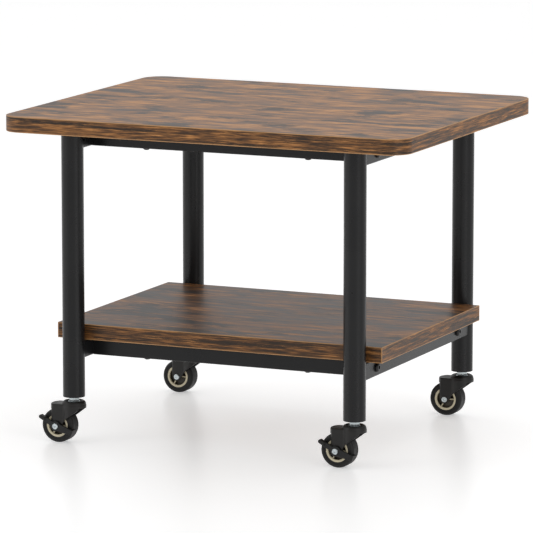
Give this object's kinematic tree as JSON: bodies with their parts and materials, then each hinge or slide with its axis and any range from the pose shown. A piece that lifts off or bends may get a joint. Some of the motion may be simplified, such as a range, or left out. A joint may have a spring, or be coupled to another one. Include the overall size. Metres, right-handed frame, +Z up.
{
  "type": "mobile printer stand",
  "caption": "Low printer stand on swivel casters: a round-cornered laminate top and a smaller shelf on a black steel tube frame, with foot brakes on the front wheels.",
  "frame": {"origin": "on the floor under the middle of the top board", "axes": "+X along the long side of the top, +Y to the back, +Z up; the braked casters are at -Y"},
  "size_m": [0.495, 0.405, 0.378],
  "materials": {
    "laminate_top": "satin",
    "laminate_shelf": "satin",
    "edge_band": "satin",
    "powder_coat": "satin",
    "black_screws": "satin",
    "zinc": "bright zinc",
    "caster_plastic": "satin",
    "lever_plastic": "satin",
    "rim_plastic": "satin",
    "tyre": "matte"
  },
  "bodies": {
    "stand": {"top_board": "laminate_top", "top_edge_band": "edge_band", "shelf_board": "laminate_shelf", "shelf_edge_band_front": "edge_band", "shelf_edge_band_rear": "edge_band", "shelf_edge_band_left": "edge_band", "shelf_edge_band_right": "edge_band", "post_front_left": "powder_coat", "post_front_right": "powder_coat", "post_rear_left": "powder_coat", "post_rear_right": "powder_coat", "side_rail_upper_left": "powder_coat", "side_rail_upper_right": "powder_coat", "cross_rail_upper_front": "powder_coat", "cross_rail_upper_rear": "powder_coat", "side_rail_lower_left": "powder_coat", "side_rail_lower_right": "powder_coat", "cross_rail_lower_front": "powder_coat", "cross_rail_lower_rear": "powder_coat", "cross_rail_inserts": "zinc", "cross_rail_bolts": "black_screws", "top_board_screws": "black_screws", "shelf_screws": "black_screws", "post_plugs": "zinc", "caster_front_left_stem": "zinc", "caster_front_left_washer": "zinc", "caster_front_left_clip": "zinc", "caster_front_right_stem": "zinc", "caster_front_right_washer": "zinc", "caster_front_right_clip": "zinc", "caster_rear_left_stem": "zinc", "caster_rear_left_washer": "zinc", "caster_rear_left_clip": "zinc", "caster_rear_right_stem": "zinc", "caster_rear_right_washer": "zinc", "caster_rear_right_clip": "zinc"},
    "caster_front_left_swivel": {"caster_front_left_fork": "caster_plastic", "caster_front_left_axle": "zinc"},
    "caster_front_left_wheel": {"caster_front_left_rim": "rim_plastic", "caster_front_left_tyre": "tyre"},
    "caster_front_left_brake": {"caster_front_left_brake_lever": "lever_plastic"},
    "caster_front_right_swivel": {"caster_front_right_fork": "caster_plastic", "caster_front_right_axle": "zinc"},
    "caster_front_right_wheel": {"caster_front_right_rim": "rim_plastic", "caster_front_right_tyre": "tyre"},
    "caster_front_right_brake": {"caster_front_right_brake_lever": "lever_plastic"},
    "caster_rear_left_swivel": {"caster_rear_left_fork": "caster_plastic", "caster_rear_left_axle": "zinc"},
    "caster_rear_left_wheel": {"caster_rear_left_rim": "rim_plastic", "caster_rear_left_tyre": "tyre"},
    "caster_rear_right_swivel": {"caster_rear_right_fork": "caster_plastic", "caster_rear_right_axle": "zinc"},
    "caster_rear_right_wheel": {"caster_rear_right_rim": "rim_plastic", "caster_rear_right_tyre": "tyre"}
  },
  "joints": [
    {"name": "caster_front_left_swivel_turn", "type": "hinge", "parent": "stand", "child": "caster_front_left_swivel", "pos_m": [-0.174, -0.163, 0.045], "axis": [0, 0, 1], "continuous": true},
    {"name": "caster_front_left_wheel_spin", "type": "hinge", "parent": "caster_front_left_swivel", "child": "caster_front_left_wheel", "pos_m": [-0.1915, -0.163, 0.01975], "axis": [0, 1, 0], "continuous": true},
    {"name": "caster_front_left_brake_press", "type": "hinge", "parent": "caster_front_left_swivel", "child": "caster_front_left_brake", "pos_m": [-0.1915, -0.17565, 0.01975], "axis": [0, -1, 0], "range_deg": [0, 18]},
    {"name": "caster_front_right_swivel_turn", "type": "hinge", "parent": "stand", "child": "caster_front_right_swivel", "pos_m": [0.174, -0.163, 0.045], "axis": [0, 0, 1], "continuous": true},
    {"name": "caster_front_right_wheel_spin", "type": "hinge", "parent": "caster_front_right_swivel", "child": "caster_front_right_wheel", "pos_m": [0.1565, -0.163, 0.01975], "axis": [0, 1, 0], "continuous": true},
    {"name": "caster_front_right_brake_press", "type": "hinge", "parent": "caster_front_right_swivel", "child": "caster_front_right_brake", "pos_m": [0.1565, -0.17565, 0.01975], "axis": [0, -1, 0], "range_deg": [0, 18]},
    {"name": "caster_rear_left_swivel_turn", "type": "hinge", "parent": "stand", "child": "caster_rear_left_swivel", "pos_m": [-0.174, 0.163, 0.045], "axis": [0, 0, 1], "continuous": true},
    {"name": "caster_rear_left_wheel_spin", "type": "hinge", "parent": "caster_rear_left_swivel", "child": "caster_rear_left_wheel", "pos_m": [-0.1915, 0.163, 0.01975], "axis": [0, 1, 0], "continuous": true},
    {"name": "caster_rear_right_swivel_turn", "type": "hinge", "parent": "stand", "child": "caster_rear_right_swivel", "pos_m": [0.174, 0.163, 0.045], "axis": [0, 0, 1], "continuous": true},
    {"name": "caster_rear_right_wheel_spin", "type": "hinge", "parent": "caster_rear_right_swivel", "child": "caster_rear_right_wheel", "pos_m": [0.1565, 0.163, 0.01975], "axis": [0, 1, 0], "continuous": true}
  ]
}
